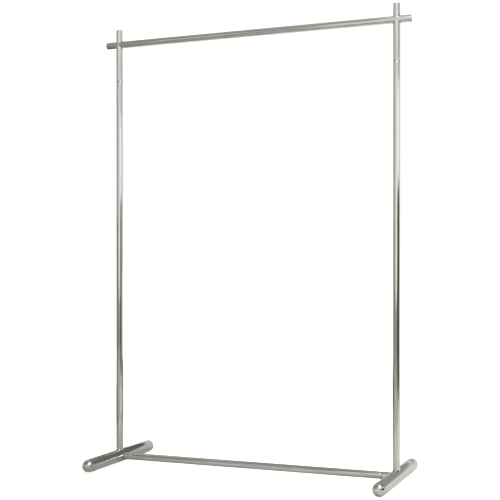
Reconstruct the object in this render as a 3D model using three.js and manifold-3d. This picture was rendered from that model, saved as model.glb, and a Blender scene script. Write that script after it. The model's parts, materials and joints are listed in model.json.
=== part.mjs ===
import * as THREE from 'three';
import { mergeVertices } from 'three/addons/utils/BufferGeometryUtils.js';
import Module from 'manifold-3d';

// A free-standing clothes rail of round stainless steel tube: a rail crossing two posts, each post on a
// thick capsule-shaped foot, and a crossbar between the feet. The top frame slips on joiners in the
// posts, and the crossbar slips on joiners in the stubs on the feet.
// Millimetres. +Z is up, +X runs along the rail, -Y is the front. The origin is on the floor, under the
// middle of the rail.

const wasm = await Module();
wasm.setup();

// Driving dimensions.
const overallHeight = 1602;
const postSpacing = 1050; // from post axis to post axis
const railDrop = 54; // rail axis below the tops of the posts
const railOverhang = 50; // rail end beyond each post axis
const upperJointHeight = 1411; // floor to the ring joint in each post
const barJointInset = 52; // post axis to the ring joint in the crossbar

const tubeRadius = 12.5;
const tubeWall = 2;
const tubeEndBevel = 0.6; // bevel on each tube end that shows at a ring joint

const footRadius = 22.5;
const footWall = 2;
const footLength = 490; // over both domes
const footDomeSteps = 6;

const jointGap = 3.4; // between the two tube ends at a ring joint
const joinerReach = 60; // joiner's length in the tube that slips over it
const postSocketDepth = 60; // joiner's length in the upright that holds it
const stubSocketDepth = 20; // joiner's length in the crossbar stub that holds it
const joinerWall = 2.7;
const joinerRingRadius = 12.8; // a little proud of the tubes
const joinerRingBevel = 0.6;
const joinerLeadIn = 2;

const capThickness = 2.5;
const capEdgeBevel = 1.2;
const capPlugLength = 8;

const glideHeight = 1.2; // floor to the lowest line of the foot
const glideRadius = 6;
const glideRim = 1.9; // height of the pad's edge beside the round foot
const glideInset = 190; // post axis to glide axis, to the front and to the rear
const glideStemRadius = 3;
const glideBarbRadius = 4.2;
const glideStemTop = 7.5;

const fitGap = 0.3; // between pieces that touch or slide
const tubeSides = 32;
const innerSides = 24;

// Dimensions that follow from them.
const railHeight = overallHeight - railDrop;
const footAxisHeight = footRadius + glideHeight;
const footTubeHalf = footLength / 2 - footRadius;
const boreRadius = tubeRadius - tubeWall;
const spigotRadius = boreRadius - fitGap;
const jointFace = jointGap / 2; // ring joint's middle to the end of a tube
const barJointX = postSpacing / 2 - barJointInset;

// Materials.
const polishedSteel = new THREE.MeshStandardMaterial({ color: 0xcdcbc4, roughness: 0.2, metalness: 1 });
const machinedSteel = new THREE.MeshStandardMaterial({ color: 0xb4b3af, roughness: 0.4, metalness: 1 });
const darkRubber = new THREE.MeshStandardMaterial({ color: 0x2b2b2a, roughness: 0.85, metalness: 0 });

// A closed body turned about one axis. The profile's points are [radius, distance along the axis], in
// the order that keeps the solid on the left.
function turned(profile, axis, sides) {
  const points = profile.map(([radius, along]) => new THREE.Vector2(radius, along));
  const geometry = new THREE.LatheGeometry(points, sides);
  if (axis === 'x') geometry.rotateZ(-Math.PI / 2);
  if (axis === 'z') geometry.rotateX(Math.PI / 2);
  geometry.deleteAttribute('normal');
  geometry.deleteAttribute('uv');
  return mergeVertices(geometry, 1e-4);
}

function ring(innerRadius, outerRadius, start, end) {
  return [
    [innerRadius, start],
    [outerRadius, start],
    [outerRadius, end],
    [innerRadius, end],
    [innerRadius, start],
  ];
}

function disc(radius, start, end) {
  return [
    [0, start],
    [radius, start],
    [radius, end],
    [0, end],
  ];
}

// A tube's section with its outer edge bevelled at the far end.
function tubeWithBevelledEnd(start, end) {
  return [
    [boreRadius, start],
    [tubeRadius, start],
    [tubeRadius, end - tubeEndBevel],
    [tubeRadius - tubeEndBevel, end],
    [boreRadius, end],
    [boreRadius, start],
  ];
}

// Boolean cuts and joins.
function toSolid(geometry) {
  const vertProperties = new Float32Array(geometry.attributes.position.array);
  const triVerts = new Uint32Array(geometry.index.array);
  return new wasm.Manifold(new wasm.Mesh({ numProp: 3, vertProperties, triVerts }));
}

function toGeometry(solid) {
  const mesh = solid.getMesh();
  const geometry = new THREE.BufferGeometry();
  geometry.setAttribute('position', new THREE.BufferAttribute(mesh.vertProperties, 3));
  geometry.setIndex(new THREE.BufferAttribute(mesh.triVerts, 1));
  return geometry;
}

function cut(geometry, tool) {
  return toGeometry(toSolid(geometry).subtract(toSolid(tool)));
}

function join(geometry, other) {
  return toGeometry(toSolid(geometry).add(toSolid(other)));
}

// The round space of the foot or the rail, which the tubes welded to it are coped around.
function footSpace() {
  const tool = turned(disc(footRadius + fitGap, -footLength / 2, footLength / 2), 'y', tubeSides);
  return tool.translate(0, 0, footAxisHeight);
}

function railSpace() {
  const tool = turned(disc(tubeRadius + fitGap, -railOverhang, railOverhang), 'x', tubeSides);
  return tool.translate(0, 0, railHeight);
}

// Top frame. The stubs and heads are in the frame of one post, with its axis at x = 0.
function railTube() {
  const end = postSpacing / 2 + railOverhang - capThickness - fitGap;
  return turned(ring(boreRadius, tubeRadius, -end, end), 'x', tubeSides);
}

function postTopTube() {
  const end = overallHeight - capThickness - fitGap;
  return cut(turned(ring(boreRadius, tubeRadius, railHeight, end), 'z', tubeSides), railSpace());
}

// Turned upside down about the rail's axis, so that the bevelled end is the lower one.
function postHeadTube() {
  const length = railHeight - upperJointHeight - jointFace;
  const tube = turned(tubeWithBevelledEnd(0, length), 'z', tubeSides);
  tube.rotateX(Math.PI);
  tube.translate(0, 0, railHeight);
  return cut(tube, railSpace());
}

// A flat end plate with a plug inside the tube. The plate's outer face is at z = 0.
function endCap() {
  const profile = [
    [0, -capThickness - capPlugLength],
    [spigotRadius, -capThickness - capPlugLength],
    [spigotRadius, -capThickness],
    [tubeRadius, -capThickness],
    [tubeRadius, -capEdgeBevel],
    [tubeRadius - capEdgeBevel, 0],
    [0, 0],
  ];
  return turned(profile, 'z', tubeSides);
}

// Joiner: a spigot with a ring that shows between two tube ends, centred on the ring. Its lower end is
// fixed in a tube, and another tube slips over its upper end.
function joiner(socketDepth) {
  const ringHalf = jointFace - fitGap;
  const bore = spigotRadius - joinerWall;
  const profile = [
    [bore, -socketDepth],
    [spigotRadius, -socketDepth],
    [spigotRadius, -ringHalf],
    [joinerRingRadius - joinerRingBevel, -ringHalf],
    [joinerRingRadius, joinerRingBevel - ringHalf],
    [joinerRingRadius, ringHalf - joinerRingBevel],
    [joinerRingRadius - joinerRingBevel, ringHalf],
    [spigotRadius, ringHalf],
    [spigotRadius, joinerReach - joinerLeadIn],
    [spigotRadius - joinerLeadIn / 2, joinerReach],
    [bore, joinerReach],
    [bore, -socketDepth],
  ];
  return turned(profile, 'z', innerSides);
}

// Side frames, in the frame of one post.
function uprightTube() {
  const end = upperJointHeight - jointFace;
  return cut(turned(tubeWithBevelledEnd(footAxisHeight, end), 'z', tubeSides), footSpace());
}

// The stub points away from the foot along -X, so that one on the left foot is turned about Z.
function barStubTube() {
  const tube = turned(tubeWithBevelledEnd(0, barJointInset - jointFace), 'x', tubeSides);
  tube.rotateZ(Math.PI);
  tube.translate(0, 0, footAxisHeight);
  return cut(tube, footSpace());
}

function footTube() {
  const half = footTubeHalf - fitGap;
  let tube = turned(ring(footRadius - footWall, footRadius, -half, half), 'y', tubeSides);
  tube.translate(0, 0, footAxisHeight);
  for (const side of [-1, 1]) {
    const hole = turned(disc(glideStemRadius + fitGap, -footRadius, footAxisHeight), 'z', innerSides);
    tube = cut(tube, hole.translate(0, side * glideInset, 0));
  }
  return tube;
}

// Hemispherical cup, open at y = 0, with its pole along +Y.
function footDome() {
  const profile = [];
  for (let step = 0; step <= footDomeSteps; step += 1) {
    const angle = (Math.PI / 2) * (1 - step / footDomeSteps);
    profile.push([(footRadius - footWall) * Math.cos(angle), (footRadius - footWall) * Math.sin(angle)]);
  }
  for (let step = 0; step <= footDomeSteps; step += 1) {
    const angle = (Math.PI / 2) * (step / footDomeSteps);
    profile.push([footRadius * Math.cos(angle), footRadius * Math.sin(angle)]);
  }
  profile[0][0] = 0;
  profile[profile.length - 1][0] = 0;
  return turned(profile, 'y', tubeSides);
}

// Rubber pad that hugs the round foot, with a barbed stem that snaps into the foot's hole.
function footGlide() {
  const pad = cut(turned(disc(glideRadius, 0, glideRim), 'z', innerSides), footSpace());
  const barbBase = footWall + glideHeight + fitGap;
  const stem = turned(
    [
      [0, glideHeight / 2],
      [glideStemRadius, glideHeight / 2],
      [glideStemRadius, barbBase + fitGap],
      [glideBarbRadius, barbBase + 2 * fitGap],
      [glideStemRadius - 1, glideStemTop],
      [0, glideStemTop],
    ],
    'z',
    innerSides,
  );
  return join(pad, stem);
}

// Crossbar between the two ring joints.
function crossbarTube() {
  const half = barJointX - jointFace;
  const profile = [
    [boreRadius, -half],
    [tubeRadius - tubeEndBevel, -half],
    [tubeRadius, -half + tubeEndBevel],
    [tubeRadius, half - tubeEndBevel],
    [tubeRadius - tubeEndBevel, half],
    [boreRadius, half],
    [boreRadius, -half],
  ];
  return turned(profile, 'x', tubeSides);
}

// Assembly.
function piece(name, geometry, material, position = [0, 0, 0], rotation = [0, 0, 0]) {
  const mesh = new THREE.Mesh(geometry, material);
  mesh.name = name;
  mesh.position.set(...position);
  mesh.rotation.set(...rotation);
  return mesh;
}

function topFrame() {
  const frame = new THREE.Group();
  frame.add(piece('top_rail', railTube(), polishedSteel, [0, 0, railHeight]));
  for (const [sideName, side] of [['left', -1], ['right', 1]]) {
    const railEnd = side * (postSpacing / 2 + railOverhang);
    const endTurn = [0, side * Math.PI / 2, 0];
    frame.add(piece(`rail_end_cap_${sideName}`, endCap(), polishedSteel, [railEnd, 0, railHeight], endTurn));

    const post = new THREE.Group();
    post.position.x = side * postSpacing / 2;
    post.add(piece(`post_top_${sideName}`, postTopTube(), polishedSteel));
    post.add(piece(`post_top_cap_${sideName}`, endCap(), polishedSteel, [0, 0, overallHeight]));
    post.add(piece(`post_head_${sideName}`, postHeadTube(), polishedSteel));
    frame.add(post);
  }
  return frame;
}

function sideFrame(sideName, side) {
  const frame = new THREE.Group();
  frame.position.x = side * postSpacing / 2;
  frame.add(piece(`upright_${sideName}`, uprightTube(), polishedSteel));

  const postJoint = [0, 0, upperJointHeight];
  frame.add(piece(`upright_joiner_${sideName}`, joiner(postSocketDepth), machinedSteel, postJoint));
  frame.add(piece(`foot_tube_${sideName}`, footTube(), polishedSteel));

  const stubTurn = side > 0 ? 0 : Math.PI;
  frame.add(piece(`crossbar_stub_${sideName}`, barStubTube(), polishedSteel, [0, 0, 0], [0, 0, stubTurn]));
  const barJoint = [-side * barJointInset, 0, footAxisHeight];
  const barJoiner = joiner(stubSocketDepth);
  const inward = [0, -side * Math.PI / 2, 0];
  frame.add(piece(`crossbar_joiner_${sideName}`, barJoiner, machinedSteel, barJoint, inward));

  for (const [endName, end] of [['front', -1], ['rear', 1]]) {
    const domeTurn = end > 0 ? 0 : Math.PI;
    const domePlace = [0, end * footTubeHalf, footAxisHeight];
    const name = `${sideName}_${endName}`;
    frame.add(piece(`foot_dome_${name}`, footDome(), polishedSteel, domePlace, [0, 0, domeTurn]));
    frame.add(piece(`foot_glide_${name}`, footGlide(), darkRubber, [0, end * glideInset, 0]));
  }
  return frame;
}

const stand = new THREE.Group();
const crossbar = piece('crossbar', crossbarTube(), polishedSteel, [0, 0, footAxisHeight]);
stand.add(topFrame(), crossbar, sideFrame('left', -1), sideFrame('right', 1));

export default stand;
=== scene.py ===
"""The looks of a clothes rail: fine meshes for its tubes, welds, caps and joints, polished steel, turned
steel and rubber, and a plain pale studio. Metres, in the CAD model's frame: +Z up, +X along the rail,
and -Y is the front."""

import json
import math

import bmesh
import bpy
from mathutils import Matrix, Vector


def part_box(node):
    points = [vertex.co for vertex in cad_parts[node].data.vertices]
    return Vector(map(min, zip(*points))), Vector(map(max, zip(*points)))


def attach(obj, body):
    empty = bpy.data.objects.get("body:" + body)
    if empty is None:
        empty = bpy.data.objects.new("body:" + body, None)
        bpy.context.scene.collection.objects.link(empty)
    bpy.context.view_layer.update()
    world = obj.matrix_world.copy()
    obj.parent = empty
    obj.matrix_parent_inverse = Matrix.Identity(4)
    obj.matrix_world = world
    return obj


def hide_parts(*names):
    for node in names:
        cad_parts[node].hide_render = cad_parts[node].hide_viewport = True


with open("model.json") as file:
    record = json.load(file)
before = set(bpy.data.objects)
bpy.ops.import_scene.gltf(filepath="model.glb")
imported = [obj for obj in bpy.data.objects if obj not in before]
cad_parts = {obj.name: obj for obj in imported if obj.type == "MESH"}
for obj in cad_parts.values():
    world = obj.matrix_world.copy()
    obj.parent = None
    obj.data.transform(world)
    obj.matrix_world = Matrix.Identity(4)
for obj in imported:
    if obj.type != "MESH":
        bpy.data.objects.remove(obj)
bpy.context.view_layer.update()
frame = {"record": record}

MM = 0.001

# Directions.
X = Vector((1, 0, 0))
Y = Vector((0, 1, 0))
Z = Vector((0, 0, 1))

# Fineness of the meshes: points round a tube, steps over each kind of curve, and the length of a tube's
# straight steps. An edge sharper than SHARP_EDGE isn't shaded smooth.
ROUND_POINTS = 96
WELD_STEPS = 10
EDGE_STEPS = 8
RING_STEPS = 12
DOME_STEPS = 32
WALL_STEP = 60 * MM
SHARP_EDGE = math.radians(35)

# Walls, and the ends of tubes at a joint, which drop in over a short run.
TUBE_WALL = 2 * MM
FOOT_WALL = 2 * MM
TUBE_END_DROP = 0.6 * MM
TUBE_END_RUN = 4.5 * MM

# End caps: the plate, the plug in the tube, and the round of the plate's edge.
CAP_PLATE = 2.5 * MM
CAP_PLUG = 10 * MM
CAP_ROUND = 1 * MM

# Welds: the radius of each, how far they reach into the main tube, and how much of the heat's tint and
# the painted crease shade shows. A weld shrinks to a point where its tubes meet flush, which is at less
# than FLUSH_ANGLE.
POST_WELD = 3 * MM
STUB_WELD = 4 * MM
RAIL_WELD = 1.5 * MM
WELD_BURIED = 0.4 * MM
POST_TINT_AND_SHADE = 0.15
STUB_TINT_AND_SHADE = 0.7
RAIL_TINT_AND_SHADE = 1.0
FLUSH_ANGLE = 0.001

# Joiners: the crowned ring, and the spigot with its gap in the tube, its bore and its tapered tip.
RING_RADIUS = 12.8 * MM
RING_HALF = 1.4 * MM
RING_CROWN = 1 * MM
SPIGOT_GAP = 0.3 * MM
SPIGOT_BORE = 7.5 * MM
SPIGOT_TAPER = 2 * MM
SPIGOT_EDGE = 0.3 * MM

# Glides: the height of the rim, the gap under the foot, and the rounds of the lower and upper edges.
GLIDE_RIM = 1.9 * MM
GLIDE_GAP = 0.1 * MM
GLIDE_ROUND = 0.4 * MM
GLIDE_LIP = 0.2 * MM


def middle(node):
    low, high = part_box(node)
    return (low + high) / 2


# Sizes and places that the frame gives.
TUBE_RADIUS = (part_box("top_rail")[1].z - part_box("top_rail")[0].z) / 2
GLIDE_RADIUS = (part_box("foot_glide_left_front")[1].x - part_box("foot_glide_left_front")[0].x) / 2
FOOT_RADIUS = (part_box("foot_tube_left")[1].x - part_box("foot_tube_left")[0].x) / 2
RAIL_HEIGHT = middle("top_rail").z
RAIL_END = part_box("rail_end_cap_right")[1].x
POST_X = middle("upright_right").x
POST_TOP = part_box("post_top_cap_left")[1].z
HEAD_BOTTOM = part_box("post_head_left")[0].z
UPRIGHT_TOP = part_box("upright_left")[1].z
FOOT_AXIS = middle("foot_tube_left").z
FOOT_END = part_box("foot_dome_left_rear")[1].y
FOOT_HALF = FOOT_END - FOOT_RADIUS
BAR_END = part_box("crossbar")[1].x
STUB_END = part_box("crossbar_stub_right")[0].x

# The body of each node.
BODY_OF = {}
for body_name, members in frame["record"]["behaviour"]["bodies"].items():
    for member in members:
        BODY_OF[member] = body_name


# Camera: its lens in millimetres, its shift as a share of the picture, and its place, tilt and turn.
CAMERA_LENS = 73.2
CAMERA_SHIFT = (-0.0117, 0.0507)
CAMERA_PLACE = (1.341, -3.327, 0.712)
CAMERA_TILT = math.radians(89.72)
CAMERA_TURN = math.radians(21.66)


def make_camera():
    data = bpy.data.cameras.new("camera")
    data.lens = CAMERA_LENS
    data.shift_x, data.shift_y = CAMERA_SHIFT
    camera = bpy.data.objects.new("camera", data)
    camera.location = CAMERA_PLACE
    camera.rotation_euler = (CAMERA_TILT, 0, CAMERA_TURN)
    bpy.context.scene.collection.objects.link(camera)
    bpy.context.scene.camera = camera


make_camera()


# Mesh building. A piece is a set of columns, one for each angle round its axis. All columns have the
# same number of points. A column that starts or ends on the axis closes there in a pole.
def turn_angles():
    return [2 * math.pi * index / ROUND_POINTS for index in range(ROUND_POINTS)]


def mesh_from_columns(name, columns, poles, weld=None):
    """poles is True for columns that start and end on the axis, and False for ones that close on
    themselves. weld has a value for each point, column by column: how much of the weld's heat tint and
    painted crease shade it has."""
    mesh_build = bmesh.new()
    rows = len(columns[0])
    first, last = (1, rows - 1) if poles else (0, rows)
    grid = [[mesh_build.verts.new(point) for point in column[first:last]] for column in columns]
    height = last - first
    around = len(columns)
    for turn in range(around):
        here, there = grid[turn], grid[(turn + 1) % around]
        for row in range(height - 1 if poles else height):
            above = (row + 1) % height
            mesh_build.faces.new((here[row], there[row], there[above], here[above]))
    if poles:
        for row, point in ((0, columns[0][0]), (height - 1, columns[0][-1])):
            pole = mesh_build.verts.new(point)
            for turn in range(around):
                mesh_build.faces.new((grid[turn][row], grid[(turn + 1) % around][row], pole))
    bmesh.ops.recalc_face_normals(mesh_build, faces=mesh_build.faces)
    for face in mesh_build.faces:
        face.smooth = True
    for edge in mesh_build.edges:
        edge.smooth = edge.calc_face_angle() < SHARP_EDGE
    mesh = bpy.data.meshes.new(name)
    mesh_build.to_mesh(mesh)
    mesh_build.free()
    # The weld attribute carries the heat tint and the painted shade of the weld's crease.
    if weld:
        layer = mesh.attributes.new("weld", "FLOAT", "POINT")
        layer.data.foreach_set("value", weld)
    piece = bpy.data.objects.new(name, mesh)
    bpy.context.scene.collection.objects.link(piece)
    return piece


def axes(out, main):
    """Three directions at right angles: along the main tube, across both, and out along the branch."""
    out, main = Vector(out), Vector(main)
    return main, out.cross(main), out


def between(start, end, step=WALL_STEP):
    """Values from start to end, both left out, about a step apart."""
    count = max(1, round(abs(end - start) / step))
    return [start + (end - start) * index / count for index in range(1, count)]


def edge_arc(radius, end, drop, run):
    """The outer edge of a tube's end, a quarter of an ellipse, as (radius, distance along) pairs. It is
    drop deep across the tube and run long along it."""
    points = []
    for index in range(EDGE_STEPS + 1):
        angle = math.pi / 2 * index / EDGE_STEPS
        points.append((radius - drop + drop * math.cos(angle), end - run + run * math.sin(angle)))
    return points


def tube_end(radius, end, rounded):
    return edge_arc(radius, end, TUBE_END_DROP, TUBE_END_RUN) if rounded else [(radius, end)]


def turned(name, profile, origin, out, main, poles):
    """A piece turned about one axis, from (radius, distance along) pairs."""
    across, over, along = axes(out, main)
    columns = []
    for angle in turn_angles():
        sideways = across * math.cos(angle) + over * math.sin(angle)
        columns.append([Vector(origin) + sideways * radius + along * place for radius, place in profile])
    return mesh_from_columns(name, columns, poles)


def weld_point(angle, radius, main_radius, weld, share):
    """A point of the weld between a branch tube and the main tube it stands on, as (along the main
    tube, across, out). The weld is what a ball of radius weld leaves free as it rolls round the corner.
    share runs from 0 on the main tube to 1 on the branch."""
    centre = Vector(((radius + weld) * math.cos(angle), (radius + weld) * math.sin(angle), 0))
    centre.z = math.sqrt(max((main_radius + weld) ** 2 - centre.y**2, 0))
    to_main = Vector((0, -centre.y, -centre.z)) / (main_radius + weld)
    to_branch = Vector((-math.cos(angle), -math.sin(angle), 0))
    opening = to_main.angle(to_branch)
    if opening < FLUSH_ANGLE:
        return centre + to_main * weld
    ray = to_main * math.sin((1 - share) * opening) + to_branch * math.sin(share * opening)
    return centre + ray / math.sin(opening) * weld


def branch_tube(name, origin, out, main, main_radius, weld, tint_and_shade, length, rounded):
    """A tube welded to a round main tube whose axis passes through origin. tint_and_shade is how much of
    the weld's heat tint and painted crease shade shows. length is from that axis to the branch's far end,
    which is rounded or square."""
    across, over, along = axes(out, main)
    bore = TUBE_RADIUS - TUBE_WALL
    weld_top = math.hypot(main_radius, weld) + weld
    weld_tint_and_shade = []
    columns = []
    for angle in turn_angles():
        toe = weld_point(angle, TUBE_RADIUS, main_radius, weld, 0)
        inward = Vector((0, toe.y, toe.z)).normalized() * WELD_BURIED
        points = [toe - inward]
        for index in range(WELD_STEPS + 1):
            points.append(weld_point(angle, TUBE_RADIUS, main_radius, weld, index / WELD_STEPS))
        weld_corner = points[-1]
        round_x, round_y = math.cos(angle), math.sin(angle)
        wall = [weld_corner.z + (weld_top - weld_corner.z) * share for share in (0.25, 0.5, 0.75)]
        wall += [weld_top] + between(weld_top, length - TUBE_END_RUN)
        points += [Vector((TUBE_RADIUS * round_x, TUBE_RADIUS * round_y, place)) for place in wall]
        for radius, place in tube_end(TUBE_RADIUS, length, rounded):
            points.append(Vector((radius * round_x, radius * round_y, place)))
        seat = math.sqrt((main_radius - WELD_BURIED) ** 2 - (bore * round_y) ** 2)
        for place in [length] + between(length, weld_top) + [weld_top, seat]:
            points.append(Vector((bore * round_x, bore * round_y, place)))
        columns.append([Vector(origin) + across * p.x + over * p.y + along * p.z for p in points])
        # Heat tint and painted crease shade: 1 where the tubes meet at a right angle, less where one runs
        # into the other.
        depth = (weld_corner - toe).length / (weld * math.sqrt(2))
        in_weld = WELD_STEPS + 2
        weld_tint_and_shade += [tint_and_shade * depth**2] * in_weld + [0.0] * (len(points) - in_weld)
    return mesh_from_columns(name, columns, poles=False, weld=weld_tint_and_shade)


def open_tube(name, origin, out, main, radius, wall, half, rounded):
    """A straight tube with open ends, centred on origin."""
    far = tube_end(radius, half, rounded)
    near = [(distance, -place) for distance, place in reversed(far)]
    straight = half - TUBE_END_RUN
    outside = near + [(radius, place) for place in between(-straight, straight)] + far
    inside = [(radius - wall, place) for place in [half] + between(half, -half) + [-half]]
    return turned(name, outside + inside, origin, out, main, poles=False)


def end_cap(name, origin, out, main):
    """A flat plate with a rounded edge, and its plug inside the tube. origin is on its outer face."""
    plug = TUBE_RADIUS - TUBE_WALL
    profile = [(0, -CAP_PLUG), (plug, -CAP_PLUG), (plug, -CAP_PLATE), (TUBE_RADIUS, -CAP_PLATE)]
    profile += edge_arc(TUBE_RADIUS, 0, CAP_ROUND, CAP_ROUND)
    profile += [((TUBE_RADIUS - CAP_ROUND) * share, 0) for share in (0.75, 0.5, 0.25, 0)]
    return turned(name, profile, origin, out, main, poles=True)


def foot_dome(name, origin, out, main):
    """A hollow half ball. origin is the middle of its open side."""
    bore = FOOT_RADIUS - FOOT_WALL
    angles = [math.pi / 2 * index / DOME_STEPS for index in range(DOME_STEPS + 1)]
    profile = [(bore * math.cos(angle), bore * math.sin(angle)) for angle in reversed(angles)]
    profile += [(FOOT_RADIUS * math.cos(angle), FOOT_RADIUS * math.sin(angle)) for angle in angles]
    return turned(name, profile, origin, out, main, poles=True)


def joiner(name, node, origin, out, main):
    """A spigot with the crowned ring that shows between two tubes. origin is the middle of the ring."""
    ends = [(corner - Vector(origin)).dot(Vector(out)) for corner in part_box(node)]
    socket, reach = min(ends), max(ends)
    spigot = TUBE_RADIUS - TUBE_WALL - SPIGOT_GAP
    tip = spigot - SPIGOT_TAPER / 2
    outside = [(spigot, socket), (spigot, -RING_HALF)]
    for index in range(RING_STEPS + 1):
        angle = math.pi * (index / RING_STEPS - 0.5)
        outside.append((RING_RADIUS - RING_CROWN * (1 - math.cos(angle)), RING_HALF * math.sin(angle)))
    outside += [(spigot, RING_HALF), (spigot, reach - SPIGOT_TAPER)]
    outside += [(tip, reach - SPIGOT_EDGE), (tip - SPIGOT_EDGE, reach)]
    inside = [(SPIGOT_BORE + SPIGOT_EDGE, reach), (SPIGOT_BORE, reach - SPIGOT_EDGE)]
    inside += [(SPIGOT_BORE, socket)]
    return turned(name, outside + inside, origin, out, main, poles=False)


def glide(name, origin):
    """A rubber pad that hugs the round foot. origin is on the floor under its middle."""
    def top(distance, angle):
        """The height of the pad's upper face, which follows the foot and stops at the rim's level."""
        hollow = math.sqrt((FOOT_RADIUS + GLIDE_GAP) ** 2 - (distance * math.cos(angle)) ** 2)
        return min(GLIDE_RIM, FOOT_AXIS - hollow)

    flat = [((GLIDE_RADIUS - GLIDE_ROUND) * share, 0) for share in (0, 0.5)]
    lower_edge = edge_arc(GLIDE_RADIUS, 0, GLIDE_ROUND, GLIDE_ROUND)
    underside = flat + [(distance, -place) for distance, place in reversed(lower_edge)]
    columns = []
    for angle in turn_angles():
        rim = top(GLIDE_RADIUS, angle)
        points = underside + [(GLIDE_RADIUS, rim - GLIDE_LIP), (GLIDE_RADIUS - GLIDE_LIP, rim)]
        for share in (0.75, 0.5, 0.25, 0):
            points.append((GLIDE_RADIUS * share, top(GLIDE_RADIUS * share, angle)))
        sideways = Vector((math.cos(angle), math.sin(angle), 0))
        columns.append([Vector(origin) + sideways * distance + Vector((0, 0, place))
                        for distance, place in points])
    return mesh_from_columns(name, columns, poles=True)


# Materials: how many times as long as wide the polishing marks are, the tint that heat gives a weld with
# painted shade of its crease, the roughness the weld adds, the depth of fine bumps, and the range that
# holds most values of a noise.
GRAIN_RUN = 40
HEAT_TINT_AND_SHADE = (0.24, 0.225, 0.195, 1)
HEAT_ROUGHNESS = 0.15
BUMP_DEPTH = 0.1 * MM
NOISE_LOW = 0.3
NOISE_HIGH = 0.7


def material(name):
    made = bpy.data.materials.new(name)
    made.use_nodes = True
    return made, made.node_tree.nodes, made.node_tree.links, made.node_tree.nodes["Principled BSDF"]


def arithmetic(nodes, links, operation, first, *others):
    """A Math node of two or three numbers or sockets."""
    made = nodes.new("ShaderNodeMath")
    made.operation = operation
    for socket, value in zip(made.inputs, (first, *others)):
        if isinstance(value, (int, float)):
            socket.default_value = value
        else:
            links.new(value, socket)
    return made.outputs["Value"]


def stretched_noise(nodes, links, scale, stretch, detail):
    """Noise in the object's own space, stretched by a factor along each axis."""
    place = nodes.new("ShaderNodeTexCoord")
    mapping = nodes.new("ShaderNodeMapping")
    mapping.inputs["Scale"].default_value = [1 / factor for factor in stretch]
    noise = nodes.new("ShaderNodeTexNoise")
    noise.inputs["Scale"].default_value = scale
    noise.inputs["Detail"].default_value = detail
    links.new(place.outputs["Object"], mapping.inputs["Vector"])
    links.new(mapping.outputs["Vector"], noise.inputs["Vector"])
    return noise.outputs["Fac"]


def spread(nodes, links, source, low, high):
    """A noise spread over the numbers from low to high."""
    remap = nodes.new("ShaderNodeMapRange")
    remap.inputs["From Min"].default_value = NOISE_LOW
    remap.inputs["From Max"].default_value = NOISE_HIGH
    remap.inputs["To Min"].default_value = low
    remap.inputs["To Max"].default_value = high
    links.new(source, remap.inputs["Value"])
    return remap.outputs["Result"]


def blended(nodes, links, source, first, last, low=0, high=1):
    """The colour first where source is at low or under, last where it is at high or over, and a mix of
    them in between."""
    ramp = nodes.new("ShaderNodeValToRGB")
    for stop, position, colour in zip(ramp.color_ramp.elements, (low, high), (first, last)):
        stop.position = position
        stop.color = (*colour, 1)
    links.new(source, ramp.inputs["Fac"])
    return ramp.outputs["Color"]


def bumped(nodes, links, shader, source, strength):
    """Fine bumps that follow source."""
    bump = nodes.new("ShaderNodeBump")
    bump.inputs["Strength"].default_value = strength
    bump.inputs["Distance"].default_value = BUMP_DEPTH
    links.new(source, bump.inputs["Height"])
    links.new(bump.outputs["Normal"], shader.inputs["Normal"])


def polished_steel(name, grain):
    """Stainless steel polished along the tube, and darkened at its welds by heat tint and painted crease
    shade. grain is how far the polishing marks run on each axis."""
    made, nodes, links, shader = material(name)
    shader.inputs["Metallic"].default_value = 1
    marks = stretched_noise(nodes, links, 1400, grain, 3)
    haze = stretched_noise(nodes, links, 18, (1, 1, 1), 4)
    steel = blended(nodes, links, haze, (0.68, 0.675, 0.64), (0.73, 0.725, 0.69), NOISE_LOW, NOISE_HIGH)
    # The weld attribute darkens the base colour: heat tint, and painted shade in the weld's crease.
    weld = nodes.new("ShaderNodeAttribute")
    weld.attribute_name = "weld"
    heat_and_shade = nodes.new("ShaderNodeMixRGB")
    links.new(weld.outputs["Fac"], heat_and_shade.inputs["Fac"])
    links.new(steel, heat_and_shade.inputs["Color1"])
    heat_and_shade.inputs["Color2"].default_value = HEAT_TINT_AND_SHADE
    links.new(heat_and_shade.outputs["Color"], shader.inputs["Base Color"])
    streaks = spread(nodes, links, marks, 0.08, 0.13)
    patches = spread(nodes, links, haze, -0.01, 0.03)
    polish = arithmetic(nodes, links, "ADD", streaks, patches)
    roughness = arithmetic(nodes, links, "MULTIPLY_ADD", weld.outputs["Fac"], HEAT_ROUGHNESS, polish)
    links.new(roughness, shader.inputs["Roughness"])
    bumped(nodes, links, shader, marks, 0.03)
    return made


def turned_steel(name):
    """Brighter steel with the fine marks of a lathe and a buff."""
    made, nodes, links, shader = material(name)
    shader.inputs["Metallic"].default_value = 1
    marks = stretched_noise(nodes, links, 2500, (1, 1, 1), 2)
    steel = blended(nodes, links, marks, (0.66, 0.66, 0.63), (0.78, 0.78, 0.75))
    links.new(steel, shader.inputs["Base Color"])
    links.new(spread(nodes, links, marks, 0.1, 0.2), shader.inputs["Roughness"])
    bumped(nodes, links, shader, marks, 0.06)
    return made


def dark_rubber(name):
    made, nodes, links, shader = material(name)
    grit = stretched_noise(nodes, links, 1200, (1, 1, 1), 4)
    rubber = blended(nodes, links, grit, (0.012, 0.012, 0.012), (0.035, 0.034, 0.033))
    links.new(rubber, shader.inputs["Base Color"])
    links.new(spread(nodes, links, grit, 0.65, 0.85), shader.inputs["Roughness"])
    bumped(nodes, links, shader, grit, 0.3)
    return made


# The steel of each tube is polished along the tube's own axis.
STEEL = {
    "x": polished_steel("polished_steel_x", (GRAIN_RUN, 1, 1)),
    "y": polished_steel("polished_steel_y", (1, GRAIN_RUN, 1)),
    "z": polished_steel("polished_steel_z", (1, 1, GRAIN_RUN)),
}
TURNED = turned_steel("machined_steel")
RUBBER = dark_rubber("dark_rubber")


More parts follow.
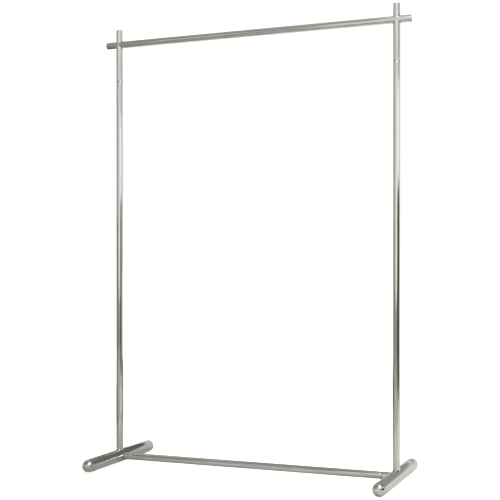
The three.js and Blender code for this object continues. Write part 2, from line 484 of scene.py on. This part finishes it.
# Pieces.
def stands_for(piece, node, look):
    """The piece shows in place of its CAD node, on the same body, with the material look."""
    piece.data.materials.append(look)
    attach(piece, BODY_OF[node])
    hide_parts(node)


def make_rail():
    half = RAIL_END - CAP_PLATE
    centre = (0, 0, RAIL_HEIGHT)
    tube = open_tube("top_rail_tube", centre, X, Y, TUBE_RADIUS, TUBE_WALL, half, False)
    stands_for(tube, "top_rail", STEEL["x"])


def make_top_side(name, side):
    """What the top frame has at one post."""
    cross = Vector((side * POST_X, 0, RAIL_HEIGHT))
    rail_tip = Vector((side * RAIL_END, 0, RAIL_HEIGHT))
    stands_for(end_cap(f"rail_end_{name}", rail_tip, X * side, Y), f"rail_end_cap_{name}", STEEL["x"])

    post_tip = Vector((side * POST_X, 0, POST_TOP))
    stands_for(end_cap(f"post_end_{name}", post_tip, Z, X), f"post_top_cap_{name}", STEEL["z"])

    above = POST_TOP - CAP_PLATE - RAIL_HEIGHT
    stub = branch_tube(f"post_stub_{name}", cross, Z, X, TUBE_RADIUS, RAIL_WELD, RAIL_TINT_AND_SHADE, above, False)
    stands_for(stub, f"post_top_{name}", STEEL["z"])

    below = RAIL_HEIGHT - HEAD_BOTTOM
    head = branch_tube(f"post_neck_{name}", cross, -Z, X, TUBE_RADIUS, RAIL_WELD, RAIL_TINT_AND_SHADE, below, True)
    stands_for(head, f"post_head_{name}", STEEL["z"])


def make_side_frame(name, side):
    """One foot with its upright, its crossbar stub, and the joiners of both."""
    foot = Vector((side * POST_X, 0, FOOT_AXIS))
    inward = X * -side
    rise = UPRIGHT_TOP - FOOT_AXIS
    post = branch_tube(f"post_{name}", foot, Z, Y, FOOT_RADIUS, POST_WELD, POST_TINT_AND_SHADE, rise, True)
    stands_for(post, f"upright_{name}", STEEL["z"])

    post_joint = Vector((side * POST_X, 0, (UPRIGHT_TOP + HEAD_BOTTOM) / 2))
    node = f"upright_joiner_{name}"
    stands_for(joiner(f"post_spigot_{name}", node, post_joint, Z, X), node, TURNED)

    tube = open_tube(f"foot_{name}", foot, Y, Z, FOOT_RADIUS, FOOT_WALL, FOOT_HALF, False)
    stands_for(tube, f"foot_tube_{name}", STEEL["y"])

    reach = POST_X - STUB_END
    stub = branch_tube(f"bar_stub_{name}", foot, inward, Y, FOOT_RADIUS, STUB_WELD, STUB_TINT_AND_SHADE, reach, True)
    stands_for(stub, f"crossbar_stub_{name}", STEEL["x"])

    bar_joint = Vector((side * (STUB_END + BAR_END) / 2, 0, FOOT_AXIS))
    node = f"crossbar_joiner_{name}"
    stands_for(joiner(f"bar_spigot_{name}", node, bar_joint, inward, Y), node, TURNED)

    for end_name, end in (("front", -1), ("rear", 1)):
        dome_place = foot + Y * end * FOOT_HALF
        dome = foot_dome(f"foot_end_{name}_{end_name}", dome_place, Y * end, Z)
        stands_for(dome, f"foot_dome_{name}_{end_name}", STEEL["y"])
        node = f"foot_glide_{name}_{end_name}"
        under = middle(node)
        pad = glide(f"foot_pad_{name}_{end_name}", (under.x, under.y, 0))
        stands_for(pad, node, RUBBER)


def make_crossbar():
    centre = (0, 0, FOOT_AXIS)
    tube = open_tube("crossbar_tube", centre, X, Y, TUBE_RADIUS, TUBE_WALL, BAR_END, True)
    stands_for(tube, "crossbar", STEEL["x"])


make_rail()
make_crossbar()
for side_name, side_sign in (("left", -1), ("right", 1)):
    make_top_side(side_name, side_sign)
    make_side_frame(side_name, side_sign)


# Studio. The camera sees a white floor and a white room. The steel mirrors a soft grey room instead,
# which is painted on the world in patches, and cards that stand for windows, walls and lamps.
ROOM_GREY = 0.22
BACKGROUND_GLOW = 1.2
FLOOR_COLOUR = (0.66, 0.66, 0.63, 1)
FLOOR_GLOW = 0.9
FLOOR_SIZE = 80

# Each patch: its middle in degrees round the stand from the front towards +X, its middle in degrees
# above the horizon, its width and height, how wide its soft edges are each way, and its brightness.
ROOM = {
    "backdrop": (178, -2, 136, 40, 30, 8, 1.05),
    "left_rear_window": (-106, 2, 34, 30, 16, 12, 1.0),
    "left_wall": (-75, 8, 80, 40, 40, 20, 0.52),
    "front_wall": (40, 10, 110, 50, 60, 30, 1.05),
}

WARM = (1, 0.995, 0.96, 1)
COOL = (0.98, 0.985, 1.03, 1)
BROWN = (1, 0.93, 0.8, 1)

# Each card: a corner, its edge along from there, its other edge, its brightness at the start and the end
# of the first edge, and its tint.
CARDS = {
    "front_window": ((-0.4, -2, 0.53), (1.6, 0, 0), (0, 0, 1.17), 0.8, 1.2, WARM),
    "front_upper_wall": ((-0.4, -2, 1.7), (1.6, 0, 0), (0, 0, 0.3), 0.78, 0.92, WARM),
    "front_top_window": ((-0.4, -2, 2), (2.4, 0, 0), (0, 0, 0.27), 0.75, 1.35, WARM),
    "front_cornice": ((-0.4, -2, 2.27), (2.4, 0, 0), (0, 0, 0.43), 0.8, 0.8, WARM),
    "front_left_window": ((-1.45, -2, 1.75), (0.6, 0, 0), (0, 0, 0.75), 0.78, 0.78, WARM),
    "front_bench": ((-0.2, -2, 0.22), (1.7, 0, 0), (0, 0, 0.31), 0.55, 0.1, WARM),
    "front_kickboard": ((-0.2, -2, 0.05), (1.7, 0, 0), (0, 0, 0.17), 0.45, 0.45, WARM),
    "right_screen": ((2.3, -2.4, 0), (0.6, 2.9, 0), (0, 0, 1.2), 0.06, 0.06, WARM),
    "right_window": ((2.3, -2.4, 1.2), (0.6, 2.9, 0), (0, 0, 0.57), 1.2, 1.2, COOL),
    "right_upper_wall": ((2.3, -2.4, 1.77), (0.6, 2.9, 0), (0, 0, 2), 0.8, 0.4, COOL),
    "front_softbox": ((0.1, -2.2, 2.7), (1.6, 0, 0), (0, 1.5, 0), 1.25, 1.25, COOL),
    "high_lamp": ((0.65, -2, 2.69), (1.1, 0, 0), (0, 1.2, 0), 6.5, 6.5, COOL),
    "ceiling": ((-1.2, -0.7, 2.7), (2.4, 0, 0), (0, 1.7, 0), 0.33, 0.8, COOL),
    "left_ceiling": ((-2.4, -0.7, 2.7), (1.2, 0, 0), (0, 3.3, 0), 0.56, 0.5, WARM),
    "left_screen": ((-1.2, -0.05, 0.25), (0, -0.9, 0), (0, 0, 0.7), 0.26, 0.26, WARM),
    "left_bounce_card": ((-0.42, -0.62, 0), (0.16, 0, 0), (0, 0, 0.07), 1.1, 1.1, COOL),
    "right_bounce_card": ((0.33, -0.62, 0), (0.2, 0, 0), (0, 0, 0.1), 1.1, 1.1, COOL),
    "rear_skirting": ((-0.3, 0.29, 0), (1.05, 0, 0), (0, 0, 0.088), 0.44, 0.85, WARM),
    "rear_skirting_groove": ((-0.3, 0.288, 0.064), (1.05, 0, 0), (0, 0, 0.012), 0.26, 0.45, WARM),
    "rear_skirting_left": ((-0.6, 0.29, -0.04), (0.3, 0, -0.03), (0, 0, 0.155), 0.74, 0.42, WARM),
    "rear_low_wall": ((-0.6, 0.3, 0.06), (1.35, 0, 0), (0, 0, 0.285), 0.12, 0.36, WARM),
    "rear_low_wall_left": ((-1, 0.3, 0), (0.35, 0, 0), (0, 0, 0.345), 0.27, 0.27, WARM),
    "rear_floor": ((-6, 0.35, 0.001), (12, 0, 0), (0, 1.25, 0), 1.0, 1.0, WARM),
    "rear_far_floor": ((-40, 1.6, 0.001), (80, 0, 0), (0, 38, 0), 0.95, 0.95, WARM),
    "rear_right_panel": ((0.6, 3, 0.7), (2.1, 0, 0), (0, 0, 1.6), 0.5, 0.33, WARM),
    "left_floor": ((-3, -0.6, 0.002), (1.64, 0, 0), (0, 2, 0), 0.05, 0.05, BROWN),
}

# Each lamp: its place, its width and its power.
LAMPS = {
    "rear_floor_light": ((1.7, 0.4, 1.6), 1.2, 38),
    "front_floor_light": ((0.3, -3.5, 2.2), 2.5, 45),
    "middle_floor_light": ((0, -0.1, 0.5), 0.4, 0.3),
}


def only_for_camera(nodes, links, shown, mirrored):
    """shown to the camera, and mirrored to everything else."""
    path = nodes.new("ShaderNodeLightPath")
    mix = nodes.new("ShaderNodeMixShader")
    links.new(path.outputs["Is Camera Ray"], mix.inputs["Fac"])
    links.new(mirrored, mix.inputs[1])
    links.new(shown, mix.inputs[2])
    return mix.outputs["Shader"]


def make_floor():
    bpy.ops.mesh.primitive_plane_add(size=FLOOR_SIZE)
    floor = bpy.context.object
    floor.name = "floor"
    made, nodes, links, shader = material("floor_white")
    shader.inputs["Base Color"].default_value = FLOOR_COLOUR
    shader.inputs["Roughness"].default_value = 0.9
    shader.inputs["Specular IOR Level"].default_value = 0.1
    glow = nodes.new("ShaderNodeEmission")
    glow.inputs["Strength"].default_value = FLOOR_GLOW
    both = nodes.new("ShaderNodeAddShader")
    links.new(shader.outputs["BSDF"], both.inputs[0])
    links.new(glow.outputs["Emission"], both.inputs[1])
    shown = only_for_camera(nodes, links, both.outputs["Shader"], shader.outputs["BSDF"])
    links.new(shown, nodes["Material Output"].inputs["Surface"])
    floor.data.materials.append(made)


def fade(nodes, links, distance, half, soft):
    """1 inside half, 0 outside it, and smooth over soft in between."""
    ramp = nodes.new("ShaderNodeMapRange")
    ramp.interpolation_type = "SMOOTHSTEP"
    ramp.inputs["From Min"].default_value = half + soft / 2
    ramp.inputs["From Max"].default_value = half - soft / 2
    links.new(distance, ramp.inputs["Value"])
    return ramp.outputs["Result"]


def make_world():
    world = bpy.data.worlds.new("studio")
    bpy.context.scene.world = world
    world.use_nodes = True
    nodes, links = world.node_tree.nodes, world.node_tree.links
    place = nodes.new("ShaderNodeTexCoord")
    way = nodes.new("ShaderNodeSeparateXYZ")
    links.new(place.outputs["Generated"], way.inputs["Vector"])
    to_front = arithmetic(nodes, links, "MULTIPLY", way.outputs["Y"], -1)
    turned_by = arithmetic(nodes, links, "ARCTAN2", way.outputs["X"], to_front)
    raised_by = arithmetic(nodes, links, "ARCSINE", way.outputs["Z"])
    glow = None
    for turn, rise, wide, high, soft_wide, soft_high, brightness in ROOM.values():
        turn, rise, wide, high = (math.radians(angle) for angle in (turn, rise, wide, high))
        aside = arithmetic(nodes, links, "SUBTRACT", turned_by, turn)
        aside = arithmetic(nodes, links, "WRAP", aside, math.pi, -math.pi)
        aside = arithmetic(nodes, links, "ABSOLUTE", aside)
        above = arithmetic(nodes, links, "SUBTRACT", raised_by, rise)
        above = arithmetic(nodes, links, "ABSOLUTE", above)
        share_round = fade(nodes, links, aside, wide / 2, math.radians(soft_wide))
        share_up = fade(nodes, links, above, high / 2, math.radians(soft_high))
        share = arithmetic(nodes, links, "MULTIPLY", share_round, share_up)
        mix = nodes.new("ShaderNodeMix")
        mix.inputs["A"].default_value = ROOM_GREY
        mix.inputs["B"].default_value = brightness
        links.new(share, mix.inputs["Factor"])
        if glow:
            links.new(glow, mix.inputs["A"])
        glow = mix.outputs["Result"]
    room = nodes["Background"]
    room.inputs["Color"].default_value = WARM
    links.new(glow, room.inputs["Strength"])
    white = nodes.new("ShaderNodeBackground")
    white.inputs["Color"].default_value = (1, 1, 1, 1)
    white.inputs["Strength"].default_value = BACKGROUND_GLOW
    shown = only_for_camera(nodes, links, white.outputs["Background"], room.outputs["Background"])
    links.new(shown, nodes["World Output"].inputs["Surface"])


def card(name, corner, along, up, near_glow, far_glow, tint):
    """A card that shows only in reflections. Its glow runs from near_glow to far_glow over along."""
    mesh = bpy.data.meshes.new(name)
    corner, along, up = Vector(corner), Vector(along), Vector(up)
    mesh.from_pydata([corner, corner + along, corner + along + up, corner + up], [], [(0, 1, 2, 3)])
    sheet = bpy.data.objects.new(name, mesh)
    bpy.context.scene.collection.objects.link(sheet)
    sheet.visible_camera = False
    sheet.visible_diffuse = False
    sheet.visible_shadow = False
    made, nodes, links, shader = material(name)
    nodes.remove(shader)
    place = nodes.new("ShaderNodeTexCoord")
    way = nodes.new("ShaderNodeVectorMath")
    way.operation = "DOT_PRODUCT"
    way.inputs[1].default_value = along / along.length_squared
    links.new(place.outputs["Object"], way.inputs[0])
    start = corner.dot(along) / along.length_squared
    ramp = nodes.new("ShaderNodeMapRange")
    ramp.inputs["From Min"].default_value = start
    ramp.inputs["From Max"].default_value = start + 1
    ramp.inputs["To Min"].default_value = near_glow
    ramp.inputs["To Max"].default_value = far_glow
    links.new(way.outputs["Value"], ramp.inputs["Value"])
    glow = nodes.new("ShaderNodeEmission")
    glow.inputs["Color"].default_value = tint
    links.new(ramp.outputs["Result"], glow.inputs["Strength"])
    links.new(glow.outputs["Emission"], nodes["Material Output"].inputs["Surface"])
    sheet.data.materials.append(made)


def floor_light(name, place, width, power):
    """A lamp that lights the floor and the rubber, and isn't mirrored itself."""
    data = bpy.data.lights.new(name, "AREA")
    data.shape = "DISK"
    data.size = width
    data.energy = power
    light = bpy.data.objects.new(name, data)
    light.location = place
    light.visible_glossy = False
    light.visible_camera = False
    bpy.context.scene.collection.objects.link(light)


make_floor()
make_world()
for lamp_name, settings in LAMPS.items():
    floor_light(lamp_name, *settings)
for card_name, settings in CARDS.items():
    card(card_name, *settings)
bpy.context.scene.view_settings.view_transform = "Standard"
